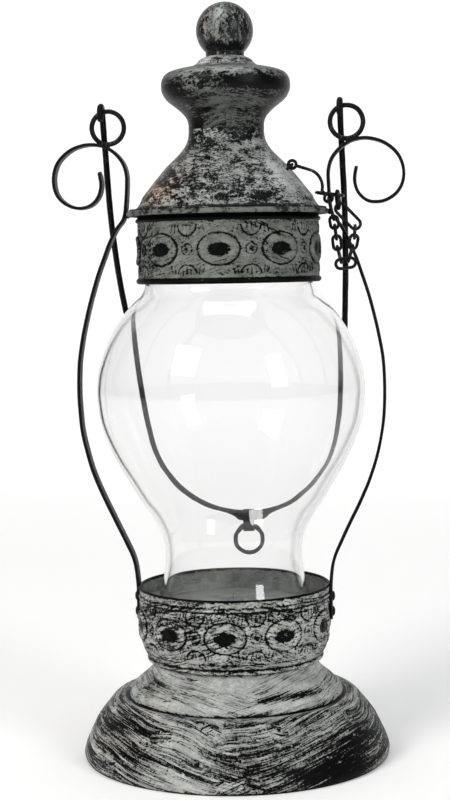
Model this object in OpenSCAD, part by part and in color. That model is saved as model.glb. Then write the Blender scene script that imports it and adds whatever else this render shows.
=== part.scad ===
// Hanging candle lantern in the style of an old oil lamp.
// Spun steel foot, embossed gallery collar, bulbous glass chimney held by two
// side strips and a wire hoop, lift-off vented lid on a keeper chain, and a
// swinging wire bail.
// Origin: centre of the foot's underside.  +Z up, X through the side strips.

/* [Sheet metal] */
// Thickness of the spun and pressed sheet
sheet_t = 0.8; // [0.7:0.05:0.9]
// Thickness of the glass wall
glass_t = 1.6; // [1.2:0.1:2.0]

/* [Side strips] */
// Width of each side strip, front to back
strip_w = 7.0; // [6.0:0.1:7.0]
// Thickness of each side strip
strip_t = 1.4; // [1.1:0.1:1.4]

/* [Bail] */
// Wire diameter of the swinging bail
bail_d = 2.8; // [2.2:0.1:2.9]
// Angle that the resting bail leans back from straight down
bail_lean = 16.4; // [16.4:0.1:18.0]
// Wire diameter of the two hanger rings and of the pull ring
ring_d = 2.2; // [1.9:0.1:2.2]
// Centre-line radius of the hanger rings
ring_r = 7.35; // [7.35:0.05:7.6]

/* [Chain] */
// Wire diameter of the keeper chain
chain_d = 1.44; // [1.1:0.02:1.44]
// Centre-line width of one chain link
link_w = 3.6; // [3.5:0.1:3.8]

/* [Ornament] */
// Number of oval medallions round the upper band
upper_n = 9; // [7:1:9]
// Number of oval medallions round the gallery collar
lower_n = 10; // [8:1:10]
// How far the oval medallions stand out
relief = 0.7; // [0.5:0.1:0.8]

/* [Hidden] */

paint = [0.56, 0.60, 0.57];
black = [0.10, 0.10, 0.10];
dark  = [0.24, 0.25, 0.25];
steel = [0.55, 0.56, 0.57];

// ---- curve helpers -------------------------------------------------------
function cr1(p, q, r, s, t) =
    0.5 * ((2 * q) + (r - p) * t + (2 * p - 5 * q + 4 * r - s) * t * t
           + (3 * q - p - 3 * r + s) * t * t * t);
// smooth curve through every point of P, n steps between two points
function smooth(P, n) = let (m = len(P))
    [for (i = [0 : m - 2]) for (k = [0 : n - 1])
        cr1(P[max(i - 1, 0)], P[i], P[i + 1], P[min(i + 2, m - 1)], k / n), P[m - 1]];
function unit(v) = v / norm(v);
function tang(P, i) = unit(P[min(i + 1, len(P) - 1)] - P[max(i - 1, 0)]);
// the same curve moved sideways by t (to the left of its direction)
function side(P, t) = [for (i = [0 : len(P) - 1]) let (u = tang(P, i)) P[i] + t * [-u[1], u[0]]];
function rev(P) = [for (i = [len(P) - 1 : -1 : 0]) P[i]];
// closed outline of a sheet of thickness t, lying to the left of the curve P
function skin(P, t) = concat(P, rev(side(P, t)));

module torus(R, r, fn = 96) { rotate_extrude($fn = fn) translate([R, 0]) circle(r = r, $fn = 24); }
module tube_ring(ro, ri, z0, z1) {
    translate([0, 0, z0]) difference() {
        cylinder(h = z1 - z0, r = ro, $fn = 128);
        translate([0, 0, -1]) cylinder(h = z1 - z0 + 2, r = ri, $fn = 128);
    }
}

// ---- profiles, radius and height ------------------------------------------
foot_top = 46.0;
foot_prof = smooth([[68.2, 0.6], [69.4, 1.0], [69.9, 3.3], [68.9, 6.9], [67.4, 10.4], [65.6, 14.0],
    [63.9, 17.4], [61.5, 20.7], [58.6, 24.3], [56.3, 27.0], [54.4, 28.4], [52.4, 28.8],
    [50.6, 28.3], [49.4, 28.2], [48.7, 29.6], [47.5, 31.8], [45.0, 34.4], [42.2, 36.7],
    [39.8, 38.8], [38.3, 40.8], [37.8, 43.0], [37.6, 44.6]], 3);
collar_prof = smooth([[40.2, 46.6], [40.6, 47.8], [41.8, 50.0], [42.9, 54.4], [43.3, 58.6], [43.3, 72.6]], 3);
plate_z = 69.6;
glass_prof = smooth([[35.4, 70.3], [34.5, 73.2], [32.7, 79.5], [31.4, 86.6], [31.0, 93.0], [32.0, 100.0],
    [34.4, 106.0], [37.6, 111.5], [41.7, 117.5], [46.5, 125.7], [51.8, 134.9], [56.1, 144.0],
    [59.2, 153.1], [60.5, 162.3], [60.7, 168.5], [59.6, 177.0], [56.2, 187.2], [52.1, 195.4],
    [47.0, 202.8], [42.6, 207.6], [39.5, 211.0], [38.1, 214.4], [37.8, 218.0], [37.8, 226.5]], 3);
dome_prof = smooth([[41.4, 248.8], [39.9, 250.7], [38.9, 252.5], [38.0, 254.3], [35.2, 257.8],
    [32.4, 261.4], [29.4, 265.0], [26.9, 267.8], [24.2, 270.3], [20.6, 273.9], [18.3, 277.2],
    [17.2, 280.4], [16.9, 283.6]], 3);
bulge_prof = smooth([[16.9, 283.7], [17.1, 287.0], [18.5, 290.0], [21.9, 293.4], [26.4, 297.0],
    [28.5, 300.4], [28.9, 303.2], [28.4, 306.3], [26.2, 308.9], [21.0, 310.5], [16.4, 311.2]], 3);
crown_prof = smooth([[16.4, 311.3], [13.9, 312.4], [12.5, 313.6], [11.2, 314.9], [9.0, 315.9]], 3);
ball_z = 327.5;
ball_r = 12.8;

hoop_z = 246.7;
hoop_R = 44.55;
hoop_r = 1.15;
rim_z = 247.9;       // underside of the lid's flange
band_r = 40.8;

strip_half = smooth([[44.1, 62.0], [44.1, 70.0], [44.2, 78.6], [45.6, 88.9], [49.5, 98.2], [53.8, 107.4],
    [58.2, 116.6], [62.2, 125.8], [65.3, 134.9], [67.5, 144.2], [68.9, 153.5], [69.5, 166.0],
    [69.0, 179.5], [67.3, 190.4], [65.3, 199.5], [62.9, 208.6], [59.7, 219.0], [57.0, 226.4],
    [53.8, 234.0], [50.6, 240.2], [47.6, 244.2], [46.5, 247.4], [45.9, 252.0], [45.4, 258.5], [45.4, 264.2], [46.8, 269.2], [49.5, 273.2], [53.0, 276.1], [57.3, 278.0], [63.5, 278.4],
    [70.5, 276.2], [76.2, 271.3], [78.7, 265.0], [78.3, 258.5], [75.2, 253.5], [69.5, 250.4],
    [63.2, 250.7], [58.8, 254.4], [57.1, 260.0], [58.0, 266.3]], 3);

ring_c = [53.8, 285.9];          // hanger ring centre, distance from the axis and height
hook_dx = 2.9;                   // the bail's hooks sit this far to the left of the rings' centres
hinge_z = 292.65;
hook_R = 2.9;                    // centre-line radius of the bail's hooks
bail_half = [[-56.7, 9], [-56.6, 15.9], [-56.3, 47], [-55.0, 70.1], [-53.3, 87.7], [-51.2, 102.7],
    [-49.9, 117.8], [-48.6, 133.1], [-47.0, 148.6], [-44.6, 164.3], [-40.4, 175.8], [-32.2, 186.4],
    [-17.0, 196.3], [1.8, 200.4], [19.4, 196.9], [31.5, 189.0], [42.0, 178.0], [46.6, 166.0],
    [48.8, 149.5], [49.6, 134.2], [50.0, 119.1], [50.6, 104.2], [51.2, 89.5], [51.7, 72.1],
    [51.9, 49.3], [51.2, 18.7], [50.9, 9]];
clip_x = 1.8;
clip_L = 200.4;
pull_L = 204.6;                  // distance from hinge to the pull ring's top wire
pull_R = 7.1;

// keeper chain, drawn in the plane y = chain_y; a link is [one end, other end, width, across]
chain_y = -8.6;
E = [29.9, 267.1];               // wire of the eye on the dome
Q = [45.7, 252.0];               // lower eye of the hook
bend_c = [35.118, 256.982];      // centre of the hook's bend
right_run = [[[57.34, 239.65], [56.95, 234.02], link_w, true], [[57.17, 235.56], [55.84, 229.44], link_w, false],
    [[56.21, 230.95], [54.14, 223.82], link_w, true]];
left_run = [[[51.09, 223.45], [49.31, 230.65], link_w, true], [[49.58, 229.13], [48.92, 235.37], link_w, false],
    [[49.10, 233.83], [48.30, 240.07], link_w, true], [[48.52, 238.53], [47.68, 243.97], link_w, false]];
hook_bend_r = 8.0;

// ---- link: racetrack of round wire from P to Q in the chain's plane --------
module link(P, Q, w = link_w, across = false, y = chain_y) {
    d = Q - P;
    L = norm(d);
    a = atan2(d[1], d[0]);
    h = w / 2;
    r = chain_d / 2;
    translate([P[0], y, P[1]]) rotate([0, -a, 0]) rotate([across ? 0 : 90, 0, 0]) {
        for (s = [-1, 1]) translate([h, s * h, 0]) rotate([0, 90, 0]) cylinder(h = L - 2 * h, r = r, $fn = 20);
        translate([h, 0, 0]) rotate([0, 0, 90]) rotate_extrude(angle = 180, $fn = 32) translate([h, 0]) circle(r = r, $fn = 20);
        translate([L - h, 0, 0]) rotate([0, 0, -90]) rotate_extrude(angle = 180, $fn = 32) translate([h, 0]) circle(r = r, $fn = 20);
    }
}
// a row of separate links
module links(list)
    for (l = list) link(l[0], l[1], l[2], l[3]);
// straight round wire between two points of the chain's plane
module rod(P, Q) {
    d = Q - P;
    translate([P[0], chain_y, P[1]]) rotate([0, 90 - atan2(d[1], d[0]), 0]) cylinder(h = norm(d), r = chain_d / 2, $fn = 20);
}

// ---- modules ---------------------------------------------------------------
module foot_shell() color(paint) {
    rotate_extrude($fn = 160) polygon(skin(foot_prof, sheet_t));
    // pressed-flat hem that the lantern stands on
    tube_ring(69.0, 67.0, 0, 1.5);
    // top plate
    tube_ring(37.6, 2.15, foot_top - sheet_t, foot_top);
    tube_ring(37.6, 36.8, 44.4, foot_top);
}

module embossed(ro, n, zc) {
    // shallow ovals standing out of the wall
    for (i = [0 : n - 1]) rotate([0, 0, 360 / n * i - 90]) translate([ro - 1.2, 0, zc]) rotate([0, 90, 0]) {
        cylinder(h = 1.2 + relief * 0.6, r = 6.3, $fn = 40);
        cylinder(h = 1.2 + relief, r = 5.2, $fn = 40);
    }
    for (i = [0 : n - 1]) rotate([0, 0, 360 / n * (i + 0.5) - 90]) translate([ro - 1.2, 0, zc]) rotate([0, 90, 0])
        cylinder(h = 1.2 + relief, r = 2.1, $fn = 24);
}

module gallery_collar() color(paint) {
    difference() {
        union() {
            rotate_extrude($fn = 160) polygon(skin(collar_prof, sheet_t));
            tube_ring(43.3, 43.3 - sheet_t, 72.4, 77.4);
            embossed(43.3, lower_n, 62.0);
            translate([0, 0, 77.4]) torus(42.9, 0.8, 160);
            translate([0, 0, 73.4]) torus(42.9, 0.75, 160);
            translate([0, 0, 45.4]) torus(39.2, 1.1, 160);
            tube_ring(40.6, 2.15, foot_top, foot_top + sheet_t);
        }
        // keep the inside smooth behind the embossing
        translate([0, 0, 57.0]) cylinder(h = 19.4, r = 42.5, $fn = 160);
        translate([0, 0, 52.0]) cylinder(h = 5.2, r = 41.4, $fn = 160);
    }
}

module candle_plate() color(dark) {
    tube_ring(41.6, 2.15, plate_z - sheet_t, plate_z);
    tube_ring(38.0, 38.0 - sheet_t, foot_top + sheet_t, plate_z - sheet_t + 0.1);
    // upstand round the plate's edge that keeps the chimney in place
    tube_ring(41.6, 40.8, plate_z - 0.1, plate_z + 2.2);
}

module centre_screw() color(steel) {
    translate([0, 0, 38.0]) cylinder(h = plate_z + 0.1 - 38.0, r = 2.05, $fn = 32);
    translate([0, 0, plate_z]) difference() {
        rotate_extrude($fn = 48) polygon([[0, 0], [4.0, 0], [4.0, 0.9], [3.4, 1.8], [2.2, 2.4], [0, 2.6]]);
        translate([-0.5, -5, 1.5]) cube([1.0, 10, 3]);
    }
}

module centre_nut() color(steel) {
    difference() {
        translate([0, 0, foot_top - sheet_t - 3.2]) union() {
            cylinder(h = 2.4, r = 4.05, $fn = 6);
            translate([0, 0, 2.4]) cylinder(h = 0.8, r = 5.0, $fn = 48);
        }
        translate([0, 0, 36]) cylinder(h = 12, r = 2.05, $fn = 32);
    }
}

module glass_chimney() color([0.85, 0.92, 0.92, 0.35]) {
    rotate_extrude($fn = 180) polygon(skin(glass_prof, glass_t));
}

module strip_solid() {
    rotate([90, 0, 0]) linear_extrude(height = strip_w, center = true, convexity = 8)
        polygon(concat(side(strip_half, strip_t / 2), rev(side(strip_half, -strip_t / 2))));
}
module side_strip_right() color(black) difference() {
    strip_solid();
    for (z = [65.5, 72.5]) translate([40, 0, z]) rotate([0, 90, 0]) cylinder(h = 8, r = 1.25, $fn = 24);
}
module side_strip_left() mirror([1, 0, 0]) side_strip_right();

module rivet(x) translate([x, 0, 0]) {
    rotate([0, 90, 0]) translate([0, 0, -2.4]) cylinder(h = 3.2, r = 1.2, $fn = 24);
    rotate([0, 90, 0]) translate([0, 0, 0.7]) rotate_extrude($fn = 32) polygon([[0, 0], [2.3, 0], [2.1, 0.5], [1.4, 0.95], [0, 1.15]]);
    rotate([0, 90, 0]) translate([0, 0, -2.5]) cylinder(h = 0.8, r = 2.0, $fn = 24);
}
module strip_rivets() color(dark) {
    for (a = [0, 180]) for (z = [65.5, 72.5]) rotate([0, 0, a]) translate([0, 0, z]) rivet(44.15);
}

module carrier_hoop() color(black) translate([0, 0, hoop_z]) torus(hoop_R, hoop_r, 160);

module hoop_welds() color(black)
    for (s = [-1, 1]) for (q = [-1, 1])
        translate([s * 45.75, q * 2.1, hoop_z - 0.35]) sphere(r = 1.25, $fn = 24);

module hanger_ring(s) color(dark)
    translate([s * ring_c[0], 0, ring_c[1]]) rotate([90, 0, 0]) torus(ring_r, ring_d / 2, 72);
module hanger_ring_left() hanger_ring(-1);
module hanger_ring_right() hanger_ring(1);
module ring_welds() color(black)
    for (s = [-1, 1]) for (q = [-1, 1])
        translate([s * (ring_c[0] + 0.6), q * 1.1, 277.7]) sphere(r = 1.3, $fn = 24);

module dome_shell() color(paint) {
    rotate_extrude($fn = 160) polygon(skin(dome_prof, sheet_t));
    // flange that rests on the hoop
    tube_ring(44.4, 40.4, rim_z, rim_z + sheet_t);
    tube_ring(41.9, 40.4, rim_z + 0.2, rim_z + 1.6);
    // short spigot inside the vent's neck
    tube_ring(16.05, 15.25, 282.6, 288.0);
}

module vent_bulge() color(paint) {
    rotate_extrude($fn = 160) polygon(skin(bulge_prof, sheet_t));
    tube_ring(16.7, 2.15, 311.2 - sheet_t, 311.2);
}

module crown_cap() color(paint) {
    rotate_extrude($fn = 96) polygon(skin(crown_prof, sheet_t));
    tube_ring(9.2, 2.15, 315.95 - sheet_t, 315.95);
}

module finial_ball() color(dark) {
    difference() {
        union() {
            translate([0, 0, ball_z]) sphere(r = ball_r, $fn = 96);
            translate([0, 0, 316.0]) cylinder(h = 2.2, r1 = 8.6, r2 = 8.6, $fn = 64);
        }
        translate([0, 0, 300]) cylinder(h = 16.0, r = 20, $fn = 48);
        translate([0, 0, 310]) cylinder(h = 18, r = 2.05, $fn = 32);
    }
}

module finial_screw() color(steel) {
    translate([0, 0, 305.0]) cylinder(h = 21.5, r = 2.05, $fn = 32);
}
module finial_nut() color(steel) {
    difference() {
        translate([0, 0, 311.2 - sheet_t - 3.2]) cylinder(h = 3.2, r = 4.05, $fn = 6);
        translate([0, 0, 300]) cylinder(h = 14, r = 2.05, $fn = 32);
    }
}

module upper_band() color(paint) {
    difference() {
        union() {
            tube_ring(band_r, band_r - sheet_t, 216.0, rim_z);
            translate([0, 0, 243.5]) torus(band_r - 0.15, 0.95, 160);
            translate([0, 0, 216.5]) torus(band_r - 0.35, 1.3, 160);
            embossed(band_r, upper_n, 230.3);
        }
        translate([0, 0, 218.2]) cylinder(h = 23.8, r = band_r - sheet_t, $fn = 160);
    }
}

module chain_eye() color(dark) {
    translate([E[0], chain_y, E[1]]) rotate([0, 45, 0]) translate([0, 0, -2.3]) rotate([0, 90, 0])
        torus(2.3, chain_d / 2, 40);
}

// loose ring round the right strip, free to slide up it as the lid is lifted
module chain_anchor_ring() color(dark)
    translate([45.9, -0.8, 254.0]) rotate([0, 8, 0]) torus(6.0, chain_d / 2, 64);
module chain_hanger_link() color(dark)
    translate([49.25, -4.85, 254.84]) rotate([0, 0, -74.7]) link([0, 0], [4.283, -7.342], 4.8, false, 0);
module chain_long_link() color(dark) link([49.44, 248.86], [58.98, 238.73], 4.6, false);
module chain_right_links() color(dark) links(right_run);
module chain_bottom_link() color(dark) link([48.6, 222.6], [57.3, 223.6], 4.2, false);
module chain_left_links() color(dark) links(left_run);
module chain_top_link() color(dark) link([47.98, 242.45], [45.76, 251.81], link_w, true);
module chain_hook() color(dark) {
    r = chain_d / 2;
    translate([Q[0], chain_y, Q[1]]) rotate([90, 0, 0]) torus(1.75, r, 36);
    translate([E[0], chain_y, E[1]]) rotate([90, 0, 0]) torus(1.75, r, 36);
    // shank: straight, bend, straight
    rod([31.564, 266.557], [37.6, 264.587]);
    translate([bend_c[0], chain_y, bend_c[1]]) rotate([90, 0, 0]) rotate([0, 0, -12])
        rotate_extrude(angle = 83.93, $fn = 96) translate([hook_bend_r, 0]) circle(r = r, $fn = 20);
    translate([42.943, chain_y, 255.319]) sphere(r = r, $fn = 32);
    rod([42.943, 255.319], [44.582, 253.346]);
}

module bail_handle() color(black)
    translate([0, 0, hinge_z]) rotate([bail_lean, 0, 0]) {
        r = bail_d / 2;
        hl = -ring_c[0] - hook_dx;
        hr = ring_c[0] - hook_dx;
        // prong, hook, leg, bow, leg, hook, prong as one wire
        P = concat(
            [[hl, -hook_R, -3.6], [hl, -hook_R, -1.6]],
            [for (a = [180 : -18 : 0]) [hl, hook_R * cos(a), hook_R * sin(a)]],
            [for (p = smooth(bail_half, 3)) [p[0], hook_R, -p[1]]],
            [for (a = [0 : 18 : 180]) [hr, hook_R * cos(a), hook_R * sin(a)]],
            [[hr, -hook_R, -1.6], [hr, -hook_R, -3.6]]);
        wire(P, r, 10);
    }
// wire with a frame carried along it, for paths that turn in every direction
function carry(P, i, a) = let (u = tang(P, i)) unit(a - (a * u) * u);
module wire(P, r, n) {
    m = len(P);
    A = [for (i = 0, a = carry(P, 0, [1, 0, 0]); i < m;
              i = i + 1, a = i < m ? carry(P, i, a) : a) a];
    pts = [for (i = [0 : m - 1]) let (u = tang(P, i), b = cross(u, A[i]))
        for (k = [0 : n - 1]) P[i] + r * (cos(360 * k / n) * A[i] + sin(360 * k / n) * b)];
    faces = concat([[for (k = [0 : n - 1]) k]],
        [for (i = [0 : m - 2]) for (k = [0 : n - 1]) let (k2 = (k + 1) % n)
            [i * n + k2, i * n + k, (i + 1) * n + k, (i + 1) * n + k2]],
        [[for (k = [n - 1 : -1 : 0]) (m - 1) * n + k]]);
    polyhedron(pts, faces, convexity = 8);
}

module bail_clip() color(black)
    translate([0, 0, hinge_z]) rotate([bail_lean, 0, 0]) translate([clip_x, hook_R, 0]) difference() {
        union() {
            translate([-2.8, 0, -clip_L]) rotate([0, 90, 0]) cylinder(h = 5.6, r = bail_d / 2 + 0.85, $fn = 32);
            translate([-2.8, 0, -pull_L]) rotate([0, 90, 0]) cylinder(h = 5.6, r = 2.8, $fn = 32);
            translate([-2.8, -1.9, -pull_L]) cube([5.6, 3.8, pull_L - clip_L]);
        }
        translate([-4, 0, -clip_L]) rotate([0, 90, 0]) cylinder(h = 8, r = bail_d / 2, $fn = 32);
        translate([-4, 0, -pull_L]) rotate([0, 90, 0]) cylinder(h = 8, r = 1.95, $fn = 32);
    }

pull_y = hook_R * cos(bail_lean) + pull_L * sin(bail_lean);
pull_z = hinge_z + hook_R * sin(bail_lean) - pull_L * cos(bail_lean);
module bail_ring() color(dark)
    translate([clip_x, pull_y, pull_z - pull_R]) rotate([90, 0, 0]) torus(pull_R, 1.1, 64);

foot_shell();
gallery_collar();
candle_plate();
centre_screw();
centre_nut();
glass_chimney();
side_strip_left();
side_strip_right();
strip_rivets();
carrier_hoop();
hoop_welds();
hanger_ring_left();
hanger_ring_right();
ring_welds();
dome_shell();
vent_bulge();
crown_cap();
finial_ball();
finial_screw();
finial_nut();
upper_band();
chain_eye();
chain_anchor_ring();
chain_hanger_link();
chain_long_link();
chain_right_links();
chain_bottom_link();
chain_left_links();
chain_top_link();
chain_hook();
bail_handle();
bail_clip();
bail_ring();
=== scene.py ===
import bpy, math
import numpy as np
from mathutils import Matrix, Vector


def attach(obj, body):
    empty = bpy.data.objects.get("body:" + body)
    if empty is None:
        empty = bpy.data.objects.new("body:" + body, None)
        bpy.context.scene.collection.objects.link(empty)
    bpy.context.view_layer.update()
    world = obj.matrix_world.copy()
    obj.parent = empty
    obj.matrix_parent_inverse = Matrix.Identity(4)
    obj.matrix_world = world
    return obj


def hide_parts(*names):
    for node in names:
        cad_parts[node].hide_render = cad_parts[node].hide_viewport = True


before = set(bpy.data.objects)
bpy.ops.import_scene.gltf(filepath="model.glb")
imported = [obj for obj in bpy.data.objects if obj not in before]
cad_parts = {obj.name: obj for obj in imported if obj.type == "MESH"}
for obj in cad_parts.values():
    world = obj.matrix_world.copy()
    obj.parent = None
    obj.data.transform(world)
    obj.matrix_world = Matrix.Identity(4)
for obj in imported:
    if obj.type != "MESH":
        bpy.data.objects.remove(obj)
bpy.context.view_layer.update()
MM = 0.001
AZ = 6.0                       # the front view stands 6 degrees towards +X

# ---------------------------------------------------------------- curves
def cr(P, n):
    P = [np.array(p, float) for p in P]
    out = []
    m = len(P)
    for i in range(m - 1):
        p, q, r, s = P[max(i - 1, 0)], P[i], P[i + 1], P[min(i + 2, m - 1)]
        for k in range(n):
            t = k / n
            out.append(0.5 * ((2 * q) + (r - p) * t + (2 * p - 5 * q + 4 * r - s) * t * t + (3 * q - p - 3 * r + s) * t ** 3))
    out.append(P[-1])
    return np.array(out)

def normals2(P):
    T = np.gradient(P, axis=0)
    T /= np.linalg.norm(T, axis=1)[:, None] + 1e-12
    return np.stack([-T[:, 1], T[:, 0]], 1)

def side(P, t):
    return P + t * normals2(P)

def smooth01(x):
    x = np.clip(x, 0, 1)
    return x * x * (3 - 2 * x)

# repeatable lattice noise, for shapes only
def vnoise(p, seed=0):
    p = np.asarray(p, float)
    i = np.floor(p).astype(np.int64)
    f = p - i
    f = f * f * (3 - 2 * f)
    out = 0
    for dx in (0, 1):
        for dy in (0, 1):
            for dz in (0, 1):
                a, b, c = i[..., 0] + dx, i[..., 1] + dy, i[..., 2] + dz
                h = (a * 374761393 + b * 668265263 + c * 2147483647 + seed * 974634777) & 0xFFFFFFFF
                h = ((h ^ (h >> 13)) * 1274126177) & 0xFFFFFFFF
                h = ((h ^ (h >> 16)) & 0xFFFF) / 65535.0
                w = (f[..., 0] if dx else 1 - f[..., 0]) * (f[..., 1] if dy else 1 - f[..., 1]) * (f[..., 2] if dz else 1 - f[..., 2])
                out = out + w * h
    return out * 2 - 1

# ---------------------------------------------------------------- meshes
def make(name, verts, faces, mat, body, replaces=(), attrs=None, smooth=True):
    me = bpy.data.meshes.new(name)
    me.from_pydata([tuple(v) for v in np.asarray(verts) * MM], [], [tuple(int(i) for i in f) for f in faces])
    me.update()
    if smooth:
        me.shade_smooth()
    n = len(me.vertices)
    for key, val in (attrs or {}).items():
        val = np.asarray(val, float)
        if val.ndim == 1:
            a = me.attributes.new(key, "FLOAT", "POINT"); a.data.foreach_set("value", val.astype(np.float32))
        else:
            a = me.attributes.new(key, "FLOAT_VECTOR", "POINT"); a.data.foreach_set("vector", val.astype(np.float32).ravel())
    o = bpy.data.objects.new(name, me)
    bpy.context.scene.collection.objects.link(o)
    o.data.materials.append(mat)
    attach(o, body)
    if replaces:
        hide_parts(*replaces)
    return o

def camphi(x, y):
    """angle round the axis from the front view, positive to the right"""
    return np.arctan2(x, -y) - math.radians(AZ)

def gauss(phi, z, spots):
    out = np.zeros_like(phi)
    for (a, zc, sa, sz, amp) in spots:
        d = (np.degrees(phi) - a + 180) % 360 - 180
        out += amp * np.exp(-(d / sa) ** 2 - ((z - zc) / sz) ** 2)
    return out

def revolve(loop, nphi, disp=None):
    """loop: closed (r, z) outline; returns verts, faces and the phi, r and z grids"""
    loop = np.asarray(loop, float)
    m = len(loop)
    ph = np.arange(nphi) * 2 * math.pi / nphi
    R = np.repeat(loop[:, 0][:, None], nphi, 1)
    Z = np.repeat(loop[:, 1][:, None], nphi, 1)
    PH = np.repeat(ph[None, :], m, 0)
    if disp is not None:
        d = disp(R, Z, PH)
        R = R + d
    V = np.stack([R * np.cos(PH), R * np.sin(PH), Z], -1).reshape(-1, 3)
    i = np.arange(m)[:, None]; j = np.arange(nphi)[None, :]
    i2 = (i + 1) % m; j2 = (j + 1) % nphi
    F = np.stack([(i * nphi + j), (i * nphi + j2), (i2 * nphi + j2), (i2 * nphi + j)], -1).reshape(-1, 4)
    # wind outwards: area sign of the loop decides
    x, y = loop[:, 0], loop[:, 1]
    if np.sum(x * np.roll(y, -1) - np.roll(x, -1) * y) < 0:
        F = F[:, ::-1]
    return V, F, PH, R, Z

def flows(V, s, long_mm, across_mm, k=0.35, seed=0.0):
    """two brush-stroke fields: low frequency along the stroke, high across it"""
    x, y = V[:, 0], V[:, 1]
    R = np.hypot(x, y)
    phi = camphi(x, y)
    sw = (np.sin(phi) + 0.09 * vnoise(np.stack([x / 20, y / 20, s / 30], 1), 8)) * R * k
    wob = 1.2 * vnoise(np.stack([x / 14, y / 14, s / 14], 1), 3)
    a = np.stack([x / long_mm + seed, y / long_mm, (s - sw + wob) / across_mm], 1)
    b = np.stack([x / long_mm + 31 + seed, y / long_mm, (s + sw - wob) / across_mm], 1)
    wa = smooth01(0.5 - np.sin(phi) * 1.0)
    return a, b, wa

def painted(name, loop, outer, nphi, mat, body, replaces, long_mm, across_mm, k, patch_and_painted_light, spots, rust_and_painted_highlight=(), disp=None, ink=None, seed=0.0):
    """a spun or pressed sheet shell with its brushed paint fields; the patch spots also hold painted shade and painted
    highlights, placed by angle from the front view
    """
    V, F, PH, R, Z = revolve(loop, nphi, disp)
    loop = np.asarray(loop, float)
    seg = np.linalg.norm(np.diff(loop, axis=0), axis=1)
    s = np.concatenate([[0], np.cumsum(seg)])
    S = np.repeat(s[:, None], nphi, 1).ravel()
    out = np.repeat(np.asarray(outer, float)[:, None], nphi, 1).ravel()
    a, b, wa = flows(V, -S if loop[0, 1] > loop[-1, 1] else S, long_mm, across_mm, k, seed)
    phi = camphi(V[:, 0], V[:, 1])
    # patch spots: positive values add black paint patches and painted shade, negative values add pale paint and
    # painted highlights
    bi = patch_and_painted_light + gauss(phi, V[:, 2], spots)
    bi = np.where(out > 0.5, bi, -0.9)
    # tint spots: positive values tint towards rust, negative values are a pale painted highlight
    wm = gauss(phi, V[:, 2], rust_and_painted_highlight) if len(rust_and_painted_highlight) else np.zeros(len(V))
    # ink: drawn lines and dark joints; on the foot it also carries painted shade under the collar
    ik = np.zeros(len(V)) if ink is None else ink(R, Z, PH).ravel() * out
    return make(name, V, F, mat, body, replaces, {"flow_a": a, "flow_b": b, "stroke": wa, "patch_and_painted_light": bi, "ink": ik, "rust_and_painted_highlight": wm})

def frames(P, closed):
    n = len(P)
    T = (np.roll(P, -1, 0) - np.roll(P, 1, 0)) if closed else np.gradient(P, axis=0)
    T /= np.linalg.norm(T, axis=1)[:, None]
    A = np.zeros_like(P)
    a = np.cross(T[0], [0.3, 0.2, 1.0]); a /= np.linalg.norm(a)
    for i in range(n):
        a = a - T[i] * (a @ T[i]); a /= np.linalg.norm(a)
        A[i] = a
    if closed:                      # spread the leftover twist
        e = A[-1] - T[0] * (A[-1] @ T[0]); e /= np.linalg.norm(e)
        ang = math.atan2(np.cross(A[0], e) @ T[0], A[0] @ e)
        for i in range(n):
            t = -ang * i / n
            A[i] = A[i] * math.cos(t) + np.cross(T[i], A[i]) * math.sin(t)
    B = np.cross(T, A)
    return T, A, B

def wire(P, r, n=16, closed=False, wob=0.0, seed=0, flat=1.0):
    P = np.asarray(P, float)
    T, A, B = frames(P, closed)
    m = len(P)
    rad = np.full(m, r)
    if not closed:                  # rounded ends
        d = np.concatenate([[0], np.cumsum(np.linalg.norm(np.diff(P, axis=0), axis=1))])
        e = np.minimum(d, d[-1] - d)
        rad = r * np.sqrt(np.clip(1 - (1 - np.clip(e / r, 0, 1)) ** 2, 0.02, 1))
    ph = np.arange(n) * 2 * math.pi / n
    V = P[:, None] + rad[:, None, None] * (np.cos(ph)[None, :, None] * A[:, None] + np.sin(ph)[None, :, None] * B[:, None])
    if wob:
        nn = vnoise(V.reshape(-1, 3) / 2.3, seed).reshape(m, n)
        C = V - P[:, None]
        V = P[:, None] + C * (1 + wob * nn[..., None])
    V = V.reshape(-1, 3)
    F = []
    for i in range(m if closed else m - 1):
        for k in range(n):
            F.append((i * n + k, i * n + (k + 1) % n, ((i + 1) % m) * n + (k + 1) % n, ((i + 1) % m) * n + k))
    if not closed:
        F.append(tuple(range(n - 1, -1, -1)))
        F.append(tuple((m - 1) * n + k for k in range(n)))
    return V, F

def dense(P, step):
    """resample a polyline evenly"""
    P = np.asarray(P, float)
    d = np.concatenate([[0], np.cumsum(np.linalg.norm(np.diff(P, axis=0), axis=1))])
    n = max(2, int(round(d[-1] / step)) + 1)
    t = np.linspace(0, d[-1], n)
    return np.stack([np.interp(t, d, P[:, k]) for k in range(P.shape[1])], 1)

def join(parts):
    V, F, off = [], [], 0
    for v, f in parts:
        V.append(v); F += [tuple(i + off for i in q) for q in f]; off += len(v)
    return np.concatenate(V), F

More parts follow.
